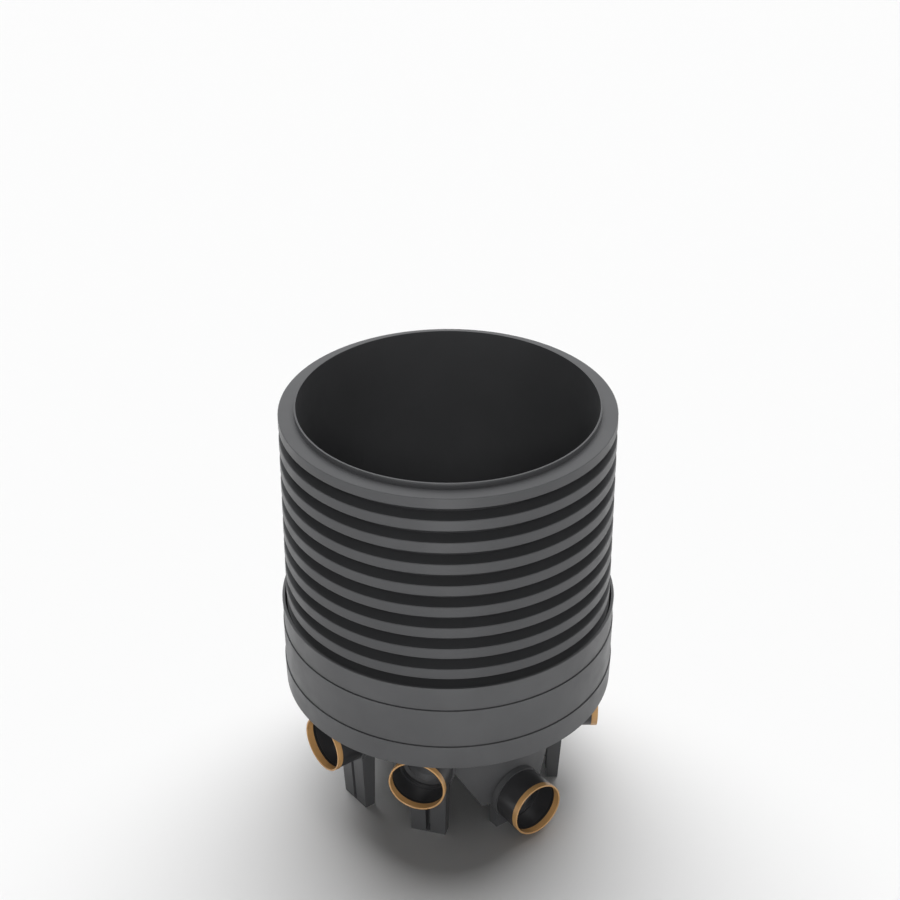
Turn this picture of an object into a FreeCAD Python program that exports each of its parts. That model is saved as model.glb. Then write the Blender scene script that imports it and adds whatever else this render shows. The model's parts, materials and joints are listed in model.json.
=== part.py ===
import FreeCAD, Part
import math
import os
from types import SimpleNamespace

import Sketcher
from FreeCAD import Placement, Rotation, Vector

# Drain inspection chamber: a moulded base with benched channels and six pipe
# sockets, and a twin-wall corrugated riser that stands in the cup of the base.
# The origin is on the floor under the chamber's axis. +Z is up, and +X runs
# along the main channel towards the outlet. Every length is in millimetres.

SIZES = {
    # Riser
    "riser_bore_r": 300.0,
    "liner_wall": 3.5,
    "rib_height": 31.5,
    "rib_pitch": 48.8,
    "rib_crest": 23.1,
    "rib_flare": 1.5,
    "rib_wall": 3.5,
    "rib_edge": 1.3,
    "rib_count": 13,
    # Cup of the base
    "riser_gap": 3.5,
    "cup_wall": 3.5,
    "cup_depth": 191.0,
    "cup_foot": 8.5,
    "band_taper": 2.0,
    "groove_depth": 1.8,
    "groove_height": 2.6,
    "low_ledge": 46.0,
    "high_ledge": 136.0,
    "corner_cut": 2.5,
    # Shelf, well and benching
    "wall": 4.0,
    "shelf_height": 270.0,
    "bench_height": 227.0,
    "well_r": 227.0,
    "mouth_round": 4.0,
    # Channels
    "main_height": 69.0,
    "main_r": 52.0,
    "side_height": 188.0,
    "side_r": 43.0,
    "channel_ease": 1.0,
    "side_fall": 0.13,
    "bend_offset": 17.0,
    "bend_reach": 164.0,
    "join_reach": 157.0,
    "branch_cross": 31.0,
    "branch_angle": 53.5,
    # End walls over the main channel
    "wing_height": 58.0,
    "wing_foot": 77.0,
    "wing_top": 169.0,
    # Pipe sockets
    "pipe_r": 55.0,
    "pipe_gap": 0.4,
    "socket_wall": 3.6,
    "socket_depth": 60.0,
    "stop_wall": 4.0,
    "spigot_r": 57.0,
    "spigot_length": 7.0,
    "spigot_gap": 0.3,
    "collar_depth": 8.0,
    "main_out": 81.0,
    "side_out": 89.0,
    # Lip seals and retaining rings
    "seal_width": 6.0,
    "seal_gap": 0.2,
    "ring_length": 16.0,
    "ring_wall": 2.0,
    "ring_lip": 3.0,
    "ring_gap": 0.2,
    "ring_edge": 0.8,
    # Feet
    "foot_out": 9.0,
    "foot_draft": 16.0,
    "foot_depth": 24.0,
    "foot_half": 37.0,
    "foot_flare": 8.0,
    "main_foot_half": 52.0,
    "slot_half": 5.0,
}


class Size:
    """A size worked out from the sheet: its value, and the formula that binds it."""

    def __init__(self, value, formula):
        self.value = value
        self.formula = formula

    @staticmethod
    def of(number):
        return number if isinstance(number, Size) else Size(float(number), f"{number}")

    def join(self, other, sign, value):
        return Size(value, f"({self.formula} {sign} {Size.of(other).formula})")

    def __add__(self, other):
        return self.join(other, "+", self.value + Size.of(other).value)

    def __sub__(self, other):
        return self.join(other, "-", self.value - Size.of(other).value)

    def __mul__(self, other):
        return self.join(other, "*", self.value * Size.of(other).value)

    def __truediv__(self, other):
        return self.join(other, "/", self.value / Size.of(other).value)

    def __neg__(self):
        return Size(-self.value, f"(-{self.formula})")

    def hypot(self, other):
        value = math.hypot(self.value, other.value)
        return Size(value, f"sqrt({self.formula}^2 + {other.formula}^2)")

    def cos(self):
        return Size(math.cos(math.radians(self.value)), f"cos({self.formula})")

    def sin(self):
        return Size(math.sin(math.radians(self.value)), f"sin({self.formula})")


ZERO = Size(0.0, "0")

doc = FreeCAD.newDocument("inspection_chamber")
sheet = doc.addObject("Spreadsheet::Sheet", "sizes")
for row, (word, number) in enumerate(SIZES.items(), start=1):
    sheet.set(f"A{row}", word)
    sheet.set(f"B{row}", f"{number}")
    sheet.setAlias(f"B{row}", word)
doc.recompute()
size = SimpleNamespace(
    **{word: Size(float(number), f"sizes.{word}") for word, number in SIZES.items()}
)


def add(kind, name, **sizes):
    """A document object with its properties bound to formulas of the sheet."""
    thing = doc.addObject(kind, name)
    for prop, value in sizes.items():
        thing.setExpression(prop, Size.of(value).formula)
    return thing


def fuse(name, *shapes):
    thing = doc.addObject("Part::MultiFuse", name)
    thing.Shapes = list(shapes)
    return thing


def cut(name, base, tool):
    thing = doc.addObject("Part::Cut", name)
    thing.Base = base
    thing.Tool = tool
    return thing


def common(name, base, tool):
    thing = doc.addObject("Part::MultiCommon", name)
    thing.Shapes = [base, tool]
    return thing


def origin_feature(body, role):
    return next(part for part in body.Origin.OriginFeatures if part.Role == role)


def profile(body, name, corners):
    """A closed outline in the body's XZ plane, each corner bound in X and in Z."""
    sketch = body.newObject("Sketcher::SketchObject", name)
    sketch.AttachmentSupport = (origin_feature(body, "XZ_Plane"), "")
    sketch.MapMode = "FlatFace"
    points = [Vector(x.value, z.value, 0) for x, z in corners]
    count = len(points)
    for i, point in enumerate(points):
        sketch.addGeometry(Part.LineSegment(point, points[(i + 1) % count]), False)
    for i in range(count):
        sketch.addConstraint(Sketcher.Constraint("Coincident", i, 2, (i + 1) % count, 1))
    for i, corner in enumerate(corners):
        for kind, letter, length in zip(("DistanceX", "DistanceY"), "xz", corner):
            if length is ZERO:
                axis = -2 if letter == "x" else -1
                sketch.addConstraint(Sketcher.Constraint("PointOnObject", i, 1, axis))
                continue
            number = sketch.addConstraint(
                Sketcher.Constraint(kind, -1, 1, i, 1, length.value)
            )
            word = f"corner_{letter}{i}"
            sketch.renameConstraint(number, word)
            sketch.setExpression(f"Constraints.{word}", length.formula)
    return sketch


def turned(body, name, sketch, axis):
    feature = body.newObject("PartDesign::Revolution", name)
    feature.Profile = sketch
    feature.ReferenceAxis = (sketch, [axis])
    feature.Angle = 360
    return feature


def build_riser():
    """Smooth liner tube with hollow square ribs moulded round it."""
    body = doc.addObject("PartDesign::Body", "riser")
    bore, skin = size.riser_bore_r, size.riser_bore_r + size.liner_wall
    length = size.rib_pitch * size.rib_count
    tube = profile(
        body, "liner_outline", [(bore, ZERO), (skin, ZERO), (skin, length), (bore, length)]
    )
    turned(body, "liner", tube, "V_Axis")

    middle = size.rib_pitch / 2
    crest_low = middle - size.rib_crest / 2
    crest_high = middle + size.rib_crest / 2
    edge, flare, wall = size.rib_edge, size.rib_flare, size.rib_wall
    crest = skin + size.rib_height
    rib = profile(
        body,
        "rib_outline",
        [
            (skin, crest_low - flare),
            (crest - edge, crest_low),
            (crest, crest_low + edge),
            (crest, crest_high - edge),
            (crest - edge, crest_high),
            (skin, crest_high + flare),
            (skin, crest_high + flare - wall),
            (crest - wall, crest_high - wall),
            (crest - wall, crest_low + wall),
            (skin, crest_low - flare + wall),
        ],
    )
    first_rib = turned(body, "rib", rib, "V_Axis")
    ribs = body.newObject("PartDesign::LinearPattern", "ribs")
    ribs.Originals = [first_rib]
    ribs.Direction = (origin_feature(body, "Z_Axis"), [""])
    ribs.setExpression("Length", (size.rib_pitch * (size.rib_count - 1)).formula)
    ribs.setExpression("Occurrences", size.rib_count.formula)
    body.Tip = ribs
    body.Placement = Placement(Vector(0, 0, size.shelf_height.value), Rotation())
    return body


def cup_and_well():
    """The turned shell: cup wall with its two ledges, shelf, well and bench plate."""
    inner = size.riser_bore_r + size.liner_wall + size.rib_height + size.riser_gap
    skin = inner + size.cup_wall
    proud = skin + size.band_taper
    floor = size.shelf_height
    rim = floor + size.cup_depth
    foot = floor - size.cup_foot
    under = floor - size.wall
    groove = skin - size.groove_depth
    corner, rounding = size.corner_cut, size.mouth_round
    corners = [
        (ZERO, size.bench_height - size.wall),
        (size.well_r + size.wall, size.bench_height - size.wall),
        (size.well_r + size.wall, under),
        (inner - size.wall, under),
        (inner - size.wall, foot),
        (skin - 1, foot),
        (skin, foot + 1),
    ]
    for ledge in (floor + size.low_ledge, floor + size.high_ledge):
        corners += [
            (proud, ledge),
            (groove, ledge),
            (groove, ledge + size.groove_height),
            (skin, ledge + size.groove_height),
        ]
    corners += [
        (proud, rim - 1),
        (proud - 1, rim),
        (inner, rim),
        (inner, floor + corner),
        (inner - corner, floor),
        (size.well_r + rounding, floor),
        (size.well_r + rounding * 0.3, floor - rounding * 0.3),
        (size.well_r, floor - rounding),
        (size.well_r, size.bench_height),
        (ZERO, size.bench_height),
    ]
    body = doc.addObject("PartDesign::Body", "cup_and_well")
    sketch = profile(body, "cup_outline", corners)
    turned(body, "cup", sketch, "V_Axis")
    return body


def trough(name, start, end, level, half, height, over):
    """An upright U along a run from start to end, open at the top.

    Each end is (x, y), level is the height of the run's axis, and over is how far
    the run goes past each end."""
    (start_x, start_y), (end_x, end_y) = start, end
    turn = math.degrees(math.atan2(end_y.value - start_y.value, end_x.value - start_x.value))
    place = Placement(
        Vector(start_x.value, start_y.value, level.value), Rotation(Vector(0, 0, 1), turn)
    )
    length = (end_x - start_x).hypot(end_y - start_y) + over[0] + over[1]
    walls = add("Part::Box", f"{name}_walls", Length=length, Width=half * 2, Height=height)
    walls.Placement = place * Placement(Vector(-over[0].value, -half.value, 0), Rotation())
    round_bed = add("Part::Cylinder", f"{name}_bed", Radius=half, Height=length)
    round_bed.Placement = place * Placement(
        Vector(-over[0].value, 0, 0), Rotation(Vector(0, 1, 0), 90)
    )
    return fuse(name, walls, round_bed)


def mitred(name, run, elbow, turn):
    """The part of a side channel's run that lies on one side of its bend."""
    well = size.well_r
    room = add("Part::Box", f"{name}_room", Length=well, Width=well * 2, Height=well * 2)
    elbow_x, elbow_y = elbow
    room.Placement = Placement(
        Vector(elbow_x.value, elbow_y.value, size.side_height.value),
        Rotation(Vector(0, 0, 1), turn),
    ) * Placement(Vector(0, -well.value, -well.value), Rotation())
    return common(name, run, room)


def main_trough(name, half):
    reach = size.well_r + size.wall * 2
    height = size.bench_height - size.main_height
    ends = (ZERO, ZERO)
    return trough(name, (-reach, ZERO), (reach, ZERO), size.main_height, half, height, ends)


def side_troughs(name, half, height):
    """The side channels of each side, tilted as one to fall to the main channel."""
    well, level = size.well_r, size.side_height
    beyond = size.wall * 3
    bend = math.degrees(
        math.atan2(size.bend_reach.value, (size.join_reach - size.bend_offset).value)
    )
    tilt = math.degrees(math.atan(size.side_fall.value))
    branch_x = -size.branch_cross - well * size.branch_angle.cos()
    shapes = []
    for side, word in ((1, "left"), (-1, "right")):
        inlet = (size.bend_offset, well * side)
        elbow = (size.bend_offset, size.bend_reach * side)
        joint = (size.join_reach, ZERO)
        branch = (branch_x, well * size.branch_angle.sin() * side)
        cross = (-size.branch_cross, ZERO)
        ahead = -(90 + bend) / 2 * side
        stem = f"{name}_{word}"
        entry = trough(f"{stem}_entry_run", inlet, elbow, level, half, height, (beyond, half))
        slant = trough(f"{stem}_slant_run", elbow, joint, level, half, height, (half, ZERO))
        runs = fuse(
            stem,
            mitred(f"{stem}_entry", entry, elbow, ahead + 180),
            mitred(f"{stem}_slant", slant, elbow, ahead),
            trough(f"{stem}_branch", branch, cross, level, half, height, (beyond, ZERO)),
        )
        runs.Placement = Placement(
            Vector(), Rotation(Vector(1, 0, 0), tilt * side), Vector(0, well.value * side, level.value)
        )
        shapes.append(runs)
    return shapes


def socket_places():
    """Each pipe socket: its angle, the foot of its axis, height, channel and reach."""
    branch, cross = size.branch_angle.value, size.branch_cross.value
    lean = math.radians(branch)
    foot_x = -cross * math.sin(lean) ** 2
    foot_y = cross * math.sin(lean) * math.cos(lean)
    side = (size.side_height, size.side_r, size.well_r + size.side_out)
    main = (size.main_height, size.main_r, size.well_r + size.main_out)
    offset = size.bend_offset.value
    return {
        "outlet": (0, (0, 0), *main),
        "left_side_inlet": (90, (offset, 0), *side),
        "left_branch_inlet": (180 - branch, (foot_x, -foot_y), *side),
        "main_inlet": (180, (0, 0), *main),
        "right_branch_inlet": (180 + branch, (foot_x, foot_y), *side),
        "right_side_inlet": (270, (offset, 0), *side),
    }


def outward(angle, foot, height=0):
    """The frame of one socket: X runs out along its axis from the axis's foot."""
    return Placement(Vector(*foot, height), Rotation(Vector(0, 0, 1), angle))


def along(name, frame, radius, start, end):
    """A round bar on a socket's axis, between two distances from its foot."""
    bar = add("Part::Cylinder", name, Radius=radius, Height=end - start)
    bar.Placement = frame * Placement(
        Vector(start.value, 0, 0), Rotation(Vector(0, 1, 0), 90)
    )
    return bar


def wedge(name, frame, front, back, sides, height):
    """An upright block whose front and sides lean from the floor to its top."""
    (front_low, front_top), ((near, near_top), (far, far_top)) = front, sides
    block = add(
        "Part::Wedge",
        name,
        Xmin=back,
        X2min=back,
        Xmax=front_low,
        X2max=front_top,
        Ymin=ZERO,
        Ymax=height,
        Zmin=near,
        Z2min=near_top,
        Zmax=far,
        Z2max=far_top,
    )
    block.Placement = frame * Placement(Vector(), Rotation(Vector(1, 0, 0), 90))
    return block


def foot(name, frame, half, flare, draft, height):
    """One foot: two tapered channels side by side with a slot between them."""
    wall, front = size.wall, size.well_r + size.foot_out
    back = front - size.foot_depth
    faces = (front, front + draft)
    sides = ((-half, -half - flare), (half, half + flare))
    block = wedge(f"{name}_block", frame, faces, back, sides, height)
    inner = size.slot_half + wall
    outer = (half - wall, half + flare - wall)
    hollow_faces = (front - wall, front + draft - wall)
    left = wedge(f"{name}_left", frame, hollow_faces, back, ((inner, inner), outer), height)
    right = wedge(
        f"{name}_right",
        frame,
        hollow_faces,
        back,
        ((-outer[0], -outer[1]), (-inner, -inner)),
        height,
    )
    slot_length = size.foot_depth + draft
    slot = add(
        "Part::Box", f"{name}_slot", Length=slot_length, Width=size.slot_half * 2, Height=height
    )
    slot.Placement = frame * Placement(
        Vector((back + wall).value, -size.slot_half.value, wall.value), Rotation()
    )
    return cut(name, block, fuse(f"{name}_hollows", left, right, slot))


def build_base():
    """The moulded base: shapes grown by one wall, less the space inside them."""
    wall, well, shelf = size.wall, size.well_r, size.shelf_height
    skins = [cup_and_well()]
    main_half = size.main_r + size.channel_ease
    side_half = size.side_r + size.channel_ease
    grown = [main_trough("main_skin", main_half + wall)]
    bench = size.bench_height - size.side_height
    grown += side_troughs("side_skin", side_half + wall, bench + wall * 8)
    below = add("Part::Cylinder", "below_bench", Radius=well + wall, Height=size.bench_height)
    skins.append(common("channel_skins", fuse("grown_channels", *grown), below))

    shell_out = add("Part::Cylinder", "end_wall_out", Radius=well + wall, Height=shelf)
    shell_in = add("Part::Cylinder", "end_wall_in", Radius=well, Height=shelf)
    curved = cut("end_wall_ring", shell_out, shell_in)
    plate = add(
        "Part::Wedge",
        "end_wall_plate",
        Xmin=-well - wall,
        X2min=-well - wall,
        Xmax=well + wall,
        X2max=well + wall,
        Ymin=size.wing_height,
        Ymax=size.bench_height,
        Zmin=-size.wing_foot,
        Z2min=-size.wing_top,
        Zmax=size.wing_foot,
        Z2max=size.wing_top,
    )
    plate.Placement = Placement(Vector(), Rotation(Vector(1, 0, 0), 90))
    skins.append(common("end_walls", curved, plate))

    hollows = [main_trough("main_hollow", main_half)]
    hollows += side_troughs("side_hollow", side_half, bench + wall * 8)
    inside = add("Part::Cylinder", "inside_well", Radius=well, Height=shelf)
    clear_well = add(
        "Part::Cylinder", "clear_well", Radius=well, Height=shelf - size.bench_height
    )
    clear_well.Placement.Base.z = size.bench_height.value
    channels = common("channel_hollows", fuse("hollow_channels", *hollows), inside)
    bores = []

    root = well - size.collar_depth * 2
    for name, (angle, foot_point, height, bore, reach) in socket_places().items():
        frame = outward(angle, foot_point, height.value)
        end = reach - size.socket_depth - size.stop_wall
        seat = end - size.collar_depth
        pocket_r = size.spigot_r + size.spigot_gap
        collar_r = pocket_r + wall
        skins.append(along(f"{name}_stub", frame, bore + wall, root, seat))
        skins.append(along(f"{name}_collar", frame, collar_r, seat - wall, end))
        bore = along(f"{name}_bore", frame, bore, root, seat + wall)
        pocket = along(f"{name}_pocket", frame, pocket_r, seat, end + wall)
        bores.append(fuse(f"{name}_hole", bore, pocket))
        ground = outward(angle, foot_point)
        if height is size.main_height:
            feet = (size.main_foot_half, ZERO, ZERO, size.main_height)
        else:
            feet = (size.foot_half, size.foot_flare, size.foot_draft, shelf - wall)
        skins.append(foot(f"{name}_foot", ground, *feet))
    base = cut("base_with_channels", fuse("base_skins", *skins), channels)
    base = cut("base_with_well", base, clear_well)
    for number, hole in enumerate(bores, start=1):
        base = cut(f"base_with_{number}_holes", base, hole)
    base.Label = "chamber_base"
    return base


def turned_piece(label, corners, frame):
    """A ring-shaped piece turned about a socket's axis."""
    body = doc.addObject("PartDesign::Body", label)
    sketch = profile(body, f"{label}_outline", corners)
    turned(body, f"{label}_turned", sketch, "H_Axis")
    body.Placement = frame
    return body


def build_socket(name, place):
    """A socket fitting with its lip seal and the retaining ring on its mouth."""
    angle, foot_point, height, _, reach = place
    frame = outward(angle, foot_point, height.value)
    bore = size.pipe_r + size.pipe_gap
    skin = bore + size.socket_wall
    stop_front = reach - size.socket_depth
    shoulder = stop_front - size.stop_wall
    spigot = shoulder - size.spigot_length
    lip = reach - size.ring_lip
    seal_front = lip - size.seal_gap
    seal_back = seal_front - size.seal_width
    end = seal_back - size.seal_gap
    edge = size.ring_edge
    fitting = turned_piece(
        f"{name}_socket",
        [
            (spigot, size.main_r),
            (spigot, size.spigot_r),
            (shoulder, size.spigot_r),
            (shoulder, skin - edge),
            (shoulder + edge, skin),
            (end, skin),
            (end, bore),
            (stop_front, bore),
            (stop_front, size.main_r),
        ],
        frame,
    )
    seal = turned_piece(
        f"{name}_seal",
        [
            (seal_back, bore + size.seal_gap),
            (seal_back, skin),
            (seal_front, skin),
            (seal_front, bore + size.seal_gap + edge),
            (seal_front - edge, bore + size.seal_gap),
        ],
        frame,
    )
    sleeve_in = skin + size.ring_gap
    sleeve_out = sleeve_in + size.ring_wall
    back = reach - size.ring_length
    mouth = bore + size.ring_gap
    ring = turned_piece(
        f"{name}_ring",
        [
            (back, sleeve_in),
            (back, sleeve_out - edge),
            (back + edge, sleeve_out),
            (reach - edge, sleeve_out),
            (reach, sleeve_out - edge),
            (reach, mouth + edge),
            (reach - edge, mouth),
            (lip, mouth),
            (lip, sleeve_in),
        ],
        frame,
    )
    return [fitting, seal, ring]


def check(thing):
    if any(word in thing.State for word in ("Invalid", "Error")):
        raise ValueError(f"{thing.Name} did not build: {thing.State}")


def main():
    pieces = [build_base(), build_riser()]
    for name, place in socket_places().items():
        pieces += build_socket(name, place)
    doc.recompute()
    for thing in doc.Objects:
        check(thing)
    os.makedirs("parts", exist_ok=True)
    for piece in pieces:
        shape = piece.Shape
        if shape.isNull() or not shape.isValid():
            raise ValueError(f"{piece.Label} has no sound shape")
        shape.exportStep(f"parts/{piece.Label}.step")
        print(f"{piece.Label}: {len(shape.Solids)} solid, {shape.Volume / 1000:.1f} cm3")


main()
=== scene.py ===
import json
import math

import bmesh
import bpy
from mathutils import Euler, Matrix, Vector


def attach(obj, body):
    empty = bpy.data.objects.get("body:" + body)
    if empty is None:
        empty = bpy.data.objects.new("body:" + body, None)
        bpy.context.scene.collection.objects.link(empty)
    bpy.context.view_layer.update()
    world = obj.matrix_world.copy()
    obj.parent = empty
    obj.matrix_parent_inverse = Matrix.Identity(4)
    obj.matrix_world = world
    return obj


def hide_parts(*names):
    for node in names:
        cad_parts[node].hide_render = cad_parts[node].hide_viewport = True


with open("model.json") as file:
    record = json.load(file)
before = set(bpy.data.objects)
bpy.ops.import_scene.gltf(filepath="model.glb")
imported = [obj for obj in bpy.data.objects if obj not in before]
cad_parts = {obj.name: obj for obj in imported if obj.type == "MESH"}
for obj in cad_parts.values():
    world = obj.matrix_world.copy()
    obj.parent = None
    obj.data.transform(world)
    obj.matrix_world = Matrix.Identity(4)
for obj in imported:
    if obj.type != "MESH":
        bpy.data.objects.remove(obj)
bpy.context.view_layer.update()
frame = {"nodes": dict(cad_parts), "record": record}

# Drain inspection chamber, dressed for a studio picture: near-black moulded plastic,
# smoother black pipe sockets and brown retaining rings, on a white floor.
# Lengths are in metres, in the model's own frame, and angles in degrees. The lens and
# the sensor are in millimetres.

MM_PER_METRE = 1000

# Camera: where it stands round the riser's axis, and how it looks at it
CAMERA_AZIMUTH = 142.7
CAMERA_DISTANCE = 3.4068
CAMERA_HEIGHT = 2.8465
CAMERA_PITCH = 31.067
CAMERA_YAW = 0.066
CAMERA_LENS = 79.78
SENSOR = 36.0
FAR_LIMIT = 100.0

# Floor and sky
FLOOR_SIZE = 60.0
FLOOR_COLOUR = (0.85, 0.85, 0.85)
FLOOR_ROUGHNESS = 0.9
FLOOR_SPECULAR = 0.1
BACKGROUND = (1.0, 1.0, 1.0)
HORIZON_STRENGTH = 0.7
ZENITH_STRENGTH = 0.1
HORIZON_BAND = 0.5

# Lamps: the sun stands behind the object, the fill and the sheen on the camera's side
SUN_STRENGTH = 4.0
SUN_ELEVATION = 54.0
SUN_SPREAD = 70.0
FILL_STRENGTH = 0.85
FILL_ELEVATION = 35.0
FILL_SPREAD = 20.0
SHEEN_POWER = 2.2
SHEEN_DISTANCE = 2.8
SHEEN_HEIGHT = 0.1
SHEEN_SIZE = 0.4
SHEEN_SPREAD = 50.0
SHEEN_AIM = 1.2

# Noise: the middle band of its range that carries the pattern, and its octaves
NOISE_LOW = 0.35
NOISE_HIGH = 0.65
COLOUR_DETAIL = 4.0
RELIEF_DETAIL = 3.0

# Pipe sockets, turned about their bores
SOCKET_SEGMENTS = 128
SHARP_ANGLE = 30.0
SOCKET_WALL = 0.0032
MOUTH_WALL = 0.0014
STOP_WALL = 0.004
SPIGOT_LENGTH = 0.007
SPIGOT_R = 0.057
THROAT_R = 0.052
SEAL_WIDTH = 0.006
RING_LENGTH = 0.013
RING_TONGUE = 0.002
RING_PROUD = 0.0006
RING_EDGE = 0.0008
PIECE_GAP = 0.0002

# Colours, linear
BASE_COLOUR = (0.092, 0.093, 0.096)
RISER_COLOUR = (0.076, 0.077, 0.080)
SOCKET_COLOUR = (0.034, 0.034, 0.036)
SEAL_COLOUR = (0.012, 0.012, 0.012)
RING_COLOUR = (0.60, 0.34, 0.135)


# Camera
def make_camera():
    """The photograph's camera: it looks down at the chamber from beside the main inlet."""
    data = bpy.data.cameras.new("camera")
    data.lens = CAMERA_LENS
    data.sensor_width = SENSOR
    data.clip_end = FAR_LIMIT
    camera = bpy.data.objects.new("camera", data)
    bpy.context.scene.collection.objects.link(camera)
    azimuth = math.radians(CAMERA_AZIMUTH)
    camera.location = (
        CAMERA_DISTANCE * math.cos(azimuth),
        CAMERA_DISTANCE * math.sin(azimuth),
        CAMERA_HEIGHT,
    )
    facing = azimuth + math.radians(90 - CAMERA_YAW)
    camera.rotation_euler = Euler((math.radians(90 - CAMERA_PITCH), 0, facing), "XYZ")
    bpy.context.scene.camera = camera


# Floor, world and lamps
def make_floor():
    """A pale floor that keeps the object's soft shadow and fades into a white room."""
    half = FLOOR_SIZE / 2
    corners = [(-half, -half, 0), (half, -half, 0), (half, half, 0), (-half, half, 0)]
    mesh = bpy.data.meshes.new("floor")
    mesh.from_pydata(corners, [], [(0, 1, 2, 3)])
    floor = bpy.data.objects.new("floor", mesh)
    bpy.context.scene.collection.objects.link(floor)
    material = bpy.data.materials.new("floor")
    material.use_nodes = True
    shader = material.node_tree.nodes["Principled BSDF"]
    shader.inputs["Base Color"].default_value = (*FLOOR_COLOUR, 1)
    shader.inputs["Roughness"].default_value = FLOOR_ROUGHNESS
    shader.inputs["Specular IOR Level"].default_value = FLOOR_SPECULAR
    mesh.materials.append(material)


def make_world():
    """A soft sky, brightest at the horizon; the camera, gloss and glass see plain white."""
    world = bpy.data.worlds.new("studio")
    world.use_nodes = True
    tree = world.node_tree
    tree.nodes.clear()
    direction = tree.nodes.new("ShaderNodeTexCoord")
    parts = tree.nodes.new("ShaderNodeSeparateXYZ")
    band = tree.nodes.new("ShaderNodeMapRange")
    band.inputs["From Max"].default_value = HORIZON_BAND
    band.inputs["To Min"].default_value = HORIZON_STRENGTH
    band.inputs["To Max"].default_value = ZENITH_STRENGTH
    sky = tree.nodes.new("ShaderNodeBackground")
    white = tree.nodes.new("ShaderNodeBackground")
    white.inputs["Color"].default_value = (*BACKGROUND, 1)
    path = tree.nodes.new("ShaderNodeLightPath")
    seen = path.outputs["Is Camera Ray"]
    for ray in ("Is Glossy Ray", "Is Transmission Ray"):
        either = tree.nodes.new("ShaderNodeMath")
        either.operation = "MAXIMUM"
        tree.links.new(seen, either.inputs[0])
        tree.links.new(path.outputs[ray], either.inputs[1])
        seen = either.outputs[0]
    mix = tree.nodes.new("ShaderNodeMixShader")
    out = tree.nodes.new("ShaderNodeOutputWorld")
    tree.links.new(direction.outputs["Generated"], parts.inputs[0])
    tree.links.new(parts.outputs["Z"], band.inputs["Value"])
    tree.links.new(band.outputs["Result"], sky.inputs["Strength"])
    tree.links.new(seen, mix.inputs["Fac"])
    tree.links.new(sky.outputs[0], mix.inputs[1])
    tree.links.new(white.outputs[0], mix.inputs[2])
    tree.links.new(mix.outputs[0], out.inputs["Surface"])
    bpy.context.scene.world = world


def make_sun(name, azimuth, elevation, strength, spread):
    """A distant soft light that shines from an azimuth and an elevation."""
    data = bpy.data.lights.new(name, "SUN")
    data.energy = strength
    data.angle = math.radians(spread)
    sun = bpy.data.objects.new(name, data)
    bpy.context.scene.collection.objects.link(sun)
    heading = math.radians(azimuth)
    rise = math.radians(elevation)
    level = math.cos(rise)
    source = Vector((level * math.cos(heading), level * math.sin(heading), math.sin(rise)))
    sun.rotation_euler = source.to_track_quat("Z", "Y").to_euler()
    return sun


def make_sheen():
    """A small lamp low in front, which draws the upright streak on the ribs."""
    data = bpy.data.lights.new("sheen", "AREA")
    data.size = SHEEN_SIZE
    data.energy = SHEEN_POWER
    data.spread = math.radians(SHEEN_SPREAD)
    lamp = bpy.data.objects.new("sheen", data)
    bpy.context.scene.collection.objects.link(lamp)
    heading = math.radians(CAMERA_AZIMUTH)
    ahead = SHEEN_DISTANCE * math.cos(heading)
    aside = SHEEN_DISTANCE * math.sin(heading)
    place = Vector((ahead, aside, SHEEN_HEIGHT))
    lamp.location = place
    aim = Vector((0, 0, SHEEN_AIM)) - place
    lamp.rotation_euler = aim.to_track_quat("-Z", "Y").to_euler()
    lamp.visible_camera = False


def make_lamps(pieces):
    """The sun draws the floor's soft shadow, and the fill reaches into the object alone."""
    sun = make_sun("sun", CAMERA_AZIMUTH + 180, SUN_ELEVATION, SUN_STRENGTH, SUN_SPREAD)
    sun.visible_glossy = False
    fill = make_sun("fill", CAMERA_AZIMUTH, FILL_ELEVATION, FILL_STRENGTH, FILL_SPREAD)
    lit = bpy.data.collections.new("lit_by_fill")
    for piece in pieces:
        lit.objects.link(piece)
    fill.light_linking.receiver_collection = lit
    make_sheen()


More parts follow.
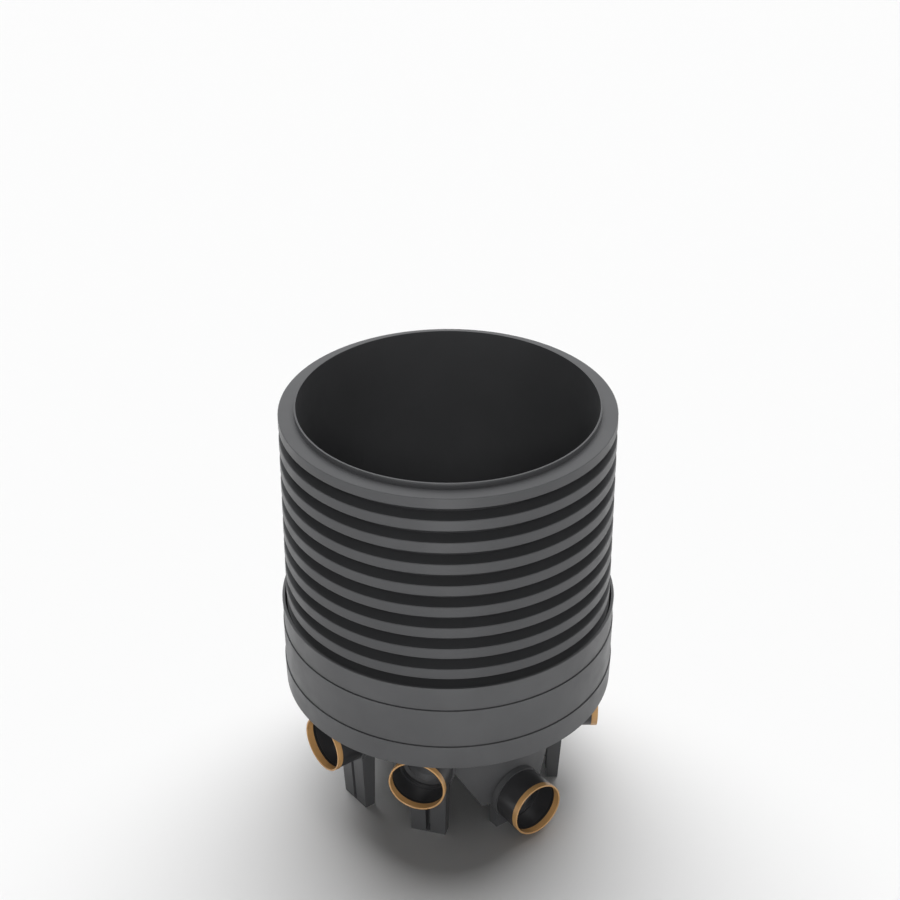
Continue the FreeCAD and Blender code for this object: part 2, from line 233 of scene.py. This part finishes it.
# Materials
class Plastic:
    """A node tree builder for moulded plastic, worked from the object's own coordinates."""

    def __init__(self, name, colour, roughness, specular):
        self.material = bpy.data.materials.new(name)
        self.material.use_nodes = True
        self.tree = self.material.node_tree
        self.shader = self.tree.nodes["Principled BSDF"]
        self.shader.inputs["Specular IOR Level"].default_value = specular
        self.place = self.tree.nodes.new("ShaderNodeTexCoord").outputs["Object"]
        self.colour = colour
        self.roughness = roughness

    def noise(self, scale, detail):
        """Noise in the object's own coordinates: its scale per metre, and its octaves."""
        node = self.tree.nodes.new("ShaderNodeTexNoise")
        node.inputs["Scale"].default_value = scale
        node.inputs["Detail"].default_value = detail
        self.tree.links.new(self.place, node.inputs["Vector"])
        return node.outputs["Fac"]

    def spread(self, factor, low, high):
        """The factor's middle band stretched to run from low to high."""
        node = self.tree.nodes.new("ShaderNodeMapRange")
        node.inputs["From Min"].default_value = NOISE_LOW
        node.inputs["From Max"].default_value = NOISE_HIGH
        node.inputs["To Min"].default_value = low
        node.inputs["To Max"].default_value = high
        self.tree.links.new(factor, node.inputs["Value"])
        return node.outputs["Result"]

    def mottle(self, scale, depth):
        """Slow cloudiness in the colour, up to depth either way."""
        ramp = self.tree.nodes.new("ShaderNodeValToRGB")
        for stop, shade in zip(ramp.color_ramp.elements, (1 - depth, 1 + depth)):
            stop.color = (*(channel * shade for channel in self.colour), 1)
        cloud = self.spread(self.noise(scale, COLOUR_DETAIL), 0, 1)
        self.tree.links.new(cloud, ramp.inputs["Fac"])
        self.tree.links.new(ramp.outputs["Color"], self.shader.inputs["Base Color"])

    def polish(self, scale, depth):
        """Patches that shine a little more or less."""
        patches = self.noise(scale, RELIEF_DETAIL)
        level = self.spread(patches, self.roughness - depth, self.roughness + depth)
        self.tree.links.new(level, self.shader.inputs["Roughness"])

    def grain(self, layers):
        """Surface relief from several noises, each with its scale and its height."""
        normal = None
        for scale, height in layers:
            bump = self.tree.nodes.new("ShaderNodeBump")
            bump.inputs["Distance"].default_value = height
            self.tree.links.new(self.noise(scale, RELIEF_DETAIL), bump.inputs["Height"])
            if normal is not None:
                self.tree.links.new(normal, bump.inputs["Normal"])
            normal = bump.outputs["Normal"]
        self.tree.links.new(normal, self.shader.inputs["Normal"])


def base_plastic():
    """Satin moulded plastic with a fine spark-eroded grain and faint flow in the colour."""
    plastic = Plastic("base_plastic", BASE_COLOUR, roughness=0.42, specular=0.3)
    plastic.mottle(scale=9, depth=0.06)
    plastic.polish(scale=22, depth=0.05)
    plastic.grain([(900, 0.00004), (14, 0.0006)])
    return plastic.material


def riser_plastic():
    """Extruded pipe: a little darker and smoother than the base, with slow waviness."""
    plastic = Plastic("riser_plastic", RISER_COLOUR, roughness=0.38, specular=0.25)
    plastic.mottle(scale=6, depth=0.05)
    plastic.polish(scale=16, depth=0.05)
    plastic.grain([(700, 0.00003), (9, 0.0008)])
    return plastic.material


def socket_plastic():
    """Smooth black injection moulding."""
    plastic = Plastic("socket_plastic", SOCKET_COLOUR, roughness=0.36, specular=0.5)
    plastic.mottle(scale=20, depth=0.08)
    plastic.polish(scale=40, depth=0.04)
    plastic.grain([(1200, 0.00002), (30, 0.0002)])
    return plastic.material


def seal_rubber():
    """Matt black rubber."""
    plastic = Plastic("seal_rubber", SEAL_COLOUR, roughness=0.62, specular=0.4)
    plastic.mottle(scale=40, depth=0.1)
    plastic.polish(scale=60, depth=0.06)
    plastic.grain([(1500, 0.00004)])
    return plastic.material


def ring_plastic():
    """Brown drain plastic, smooth, with a slightly uneven colour."""
    plastic = Plastic("ring_plastic", RING_COLOUR, roughness=0.34, specular=0.5)
    plastic.mottle(scale=30, depth=0.07)
    plastic.polish(scale=50, depth=0.05)
    plastic.grain([(1000, 0.00002), (40, 0.0002)])
    return plastic.material


# Pipe sockets
def socket_outlines(bore, depth):
    """Outlines of a socket, its seal and its ring, as (distance out of the mouth, radius)."""
    skin = bore + SOCKET_WALL
    groove = skin - MOUTH_WALL
    ring_back = -RING_LENGTH
    tongue = ring_back - RING_TONGUE
    seal_front = tongue - PIECE_GAP
    seal_back = seal_front - SEAL_WIDTH
    groove_back = seal_back - PIECE_GAP
    shoulder = -depth - STOP_WALL
    spigot = shoulder - SPIGOT_LENGTH
    end = ring_back - PIECE_GAP
    lip = bore + PIECE_GAP
    bead = groove - PIECE_GAP
    crown = skin + RING_PROUD
    socket = [
        (spigot, THROAT_R),
        (spigot, SPIGOT_R),
        (shoulder, SPIGOT_R),
        (shoulder, skin - RING_EDGE),
        (shoulder + RING_EDGE, skin),
        (end, skin),
        (end, groove),
        (groove_back, groove),
        (groove_back, bore),
        (-depth, bore),
        (-depth, THROAT_R),
    ]
    seal = [(seal_back, lip), (seal_back, bead), (seal_front, bead), (seal_front, lip)]
    ring = [
        (tongue, lip),
        (tongue, bead),
        (ring_back, bead),
        (ring_back, crown - RING_EDGE),
        (ring_back + RING_EDGE, crown),
        (-RING_EDGE, crown),
        (0, crown - RING_EDGE),
        (0, lip + RING_EDGE),
        (-RING_EDGE, lip),
    ]
    return {"socket": socket, "seal": seal, "ring": ring}


def turn(name, outline, mouth, axis):
    """A closed ring-shaped mesh: the outline turned about an axis through the mouth."""
    work = bmesh.new()
    rows = []
    for step in range(SOCKET_SEGMENTS):
        spin = Matrix.Rotation(math.tau * step / SOCKET_SEGMENTS, 3, "X")
        corners = (Vector((along, 0, radius)) for along, radius in outline)
        rows.append([work.verts.new(spin @ corner) for corner in corners])
    for row, following in zip(rows, rows[1:] + rows[:1]):
        for first in range(len(outline)):
            second = (first + 1) % len(outline)
            work.faces.new((row[first], row[second], following[second], following[first]))
    bmesh.ops.recalc_face_normals(work, faces=work.faces)
    mesh = bpy.data.meshes.new(name)
    work.to_mesh(mesh)
    work.free()
    facing = axis.to_track_quat("X", "Z").to_matrix().to_4x4()
    mesh.transform(Matrix.Translation(mouth) @ facing)
    mesh.shade_smooth()
    mesh.set_sharp_from_angle(angle=math.radians(SHARP_ANGLE))
    piece = bpy.data.objects.new(name, mesh)
    bpy.context.scene.collection.objects.link(piece)
    return piece


def make_sockets(materials):
    """Sockets with a ring that fills the mouth, in place of the plainer solids."""
    slots = {part["node"]: part["material_slot"] for part in frame["record"]["subparts"]}
    made = []
    for mount in frame["record"]["mounts"]:
        if not mount["name"].endswith("_socket"):
            continue
        stem = mount["name"].removesuffix("_socket")
        bore = mount["dims"]["r_mm"] / MM_PER_METRE
        length = mount["dims"]["length_mm"] / MM_PER_METRE
        axis = Vector(mount["axis"])
        mouth = Vector(mount["pos_m"]) + axis * (length / 2 + RING_EDGE)
        for form, outline in socket_outlines(bore, length + RING_EDGE).items():
            node = f"{stem}_{form}"
            piece = turn(f"{node}_turned", outline, mouth, axis)
            piece.data.materials.append(materials[slots[node]])
            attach(piece, "base")
            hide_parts(node)
            made.append(piece)
    return made


# Dressing
def dress():
    """Every node wears the material of its slot, and the sockets get finer pieces."""
    makers = {
        "base_plastic": base_plastic,
        "riser_plastic": riser_plastic,
        "socket_plastic": socket_plastic,
        "seal_rubber": seal_rubber,
        "ring_plastic": ring_plastic,
    }
    materials = {slot: maker() for slot, maker in makers.items()}
    for part in frame["record"]["subparts"]:
        mesh = frame["nodes"][part["node"]].data
        mesh.materials.clear()
        mesh.materials.append(materials[part["material_slot"]])
    return list(frame["nodes"].values()) + make_sockets(materials)


make_camera()
make_floor()
make_world()
make_lamps(dress())

bpy.context.scene.view_settings.view_transform = "Standard"
